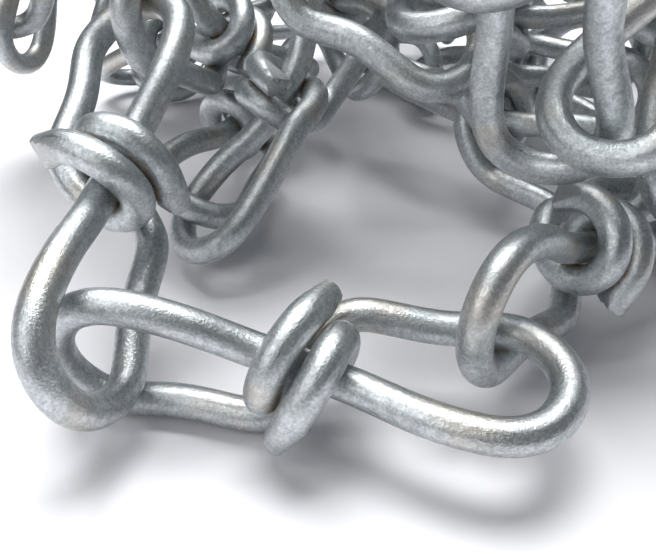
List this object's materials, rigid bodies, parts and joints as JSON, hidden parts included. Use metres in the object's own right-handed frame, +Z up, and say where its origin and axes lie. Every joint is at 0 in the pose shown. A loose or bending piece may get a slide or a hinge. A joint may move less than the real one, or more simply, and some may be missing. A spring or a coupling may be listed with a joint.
{
  "type": "heap of steel chain",
  "caption": "Loose heap of zinc-plated knotted-link steel chain lying on a level floor, with a short run of links pulled clear of the mound in front.",
  "frame": {"origin": "on the floor that the heap lies on, under the middle of its box", "axes": "+Z up from the floor, +Y from the run of links that lies clear in front towards the mound, +X to the right of that run"},
  "size_m": [0.1718, 0.1922, 0.1078],
  "materials": {
    "zinc_plated_steel": "bright zinc plating, finely mottled, with light tool marks"
  },
  "bodies": {
    "root": {"link_01": "zinc_plated_steel", "link_02": "zinc_plated_steel", "link_03": "zinc_plated_steel", "link_04": "zinc_plated_steel", "link_05": "zinc_plated_steel", "link_06": "zinc_plated_steel", "link_07": "zinc_plated_steel", "link_08": "zinc_plated_steel", "link_09": "zinc_plated_steel", "link_10": "zinc_plated_steel", "link_11": "zinc_plated_steel", "link_12": "zinc_plated_steel", "link_13": "zinc_plated_steel", "link_14": "zinc_plated_steel", "link_15": "zinc_plated_steel", "link_16": "zinc_plated_steel", "link_17": "zinc_plated_steel", "link_18": "zinc_plated_steel", "link_19": "zinc_plated_steel", "link_20": "zinc_plated_steel", "link_21": "zinc_plated_steel", "link_22": "zinc_plated_steel", "link_23": "zinc_plated_steel", "link_24": "zinc_plated_steel", "link_25": "zinc_plated_steel", "link_26": "zinc_plated_steel", "link_27": "zinc_plated_steel", "link_28": "zinc_plated_steel", "link_29": "zinc_plated_steel", "link_30": "zinc_plated_steel", "link_31": "zinc_plated_steel", "link_32": "zinc_plated_steel", "link_33": "zinc_plated_steel", "link_34": "zinc_plated_steel", "link_35": "zinc_plated_steel", "link_36": "zinc_plated_steel", "link_37": "zinc_plated_steel", "link_38": "zinc_plated_steel", "link_39": "zinc_plated_steel", "link_40": "zinc_plated_steel", "link_41": "zinc_plated_steel", "link_42": "zinc_plated_steel", "link_43": "zinc_plated_steel", "link_44": "zinc_plated_steel", "link_45": "zinc_plated_steel", "link_46": "zinc_plated_steel", "link_47": "zinc_plated_steel", "link_48": "zinc_plated_steel", "link_49": "zinc_plated_steel", "link_50": "zinc_plated_steel", "link_51": "zinc_plated_steel", "link_52": "zinc_plated_steel", "link_53": "zinc_plated_steel", "link_54": "zinc_plated_steel", "link_55": "zinc_plated_steel", "link_56": "zinc_plated_steel"}
  },
  "joints": []
}
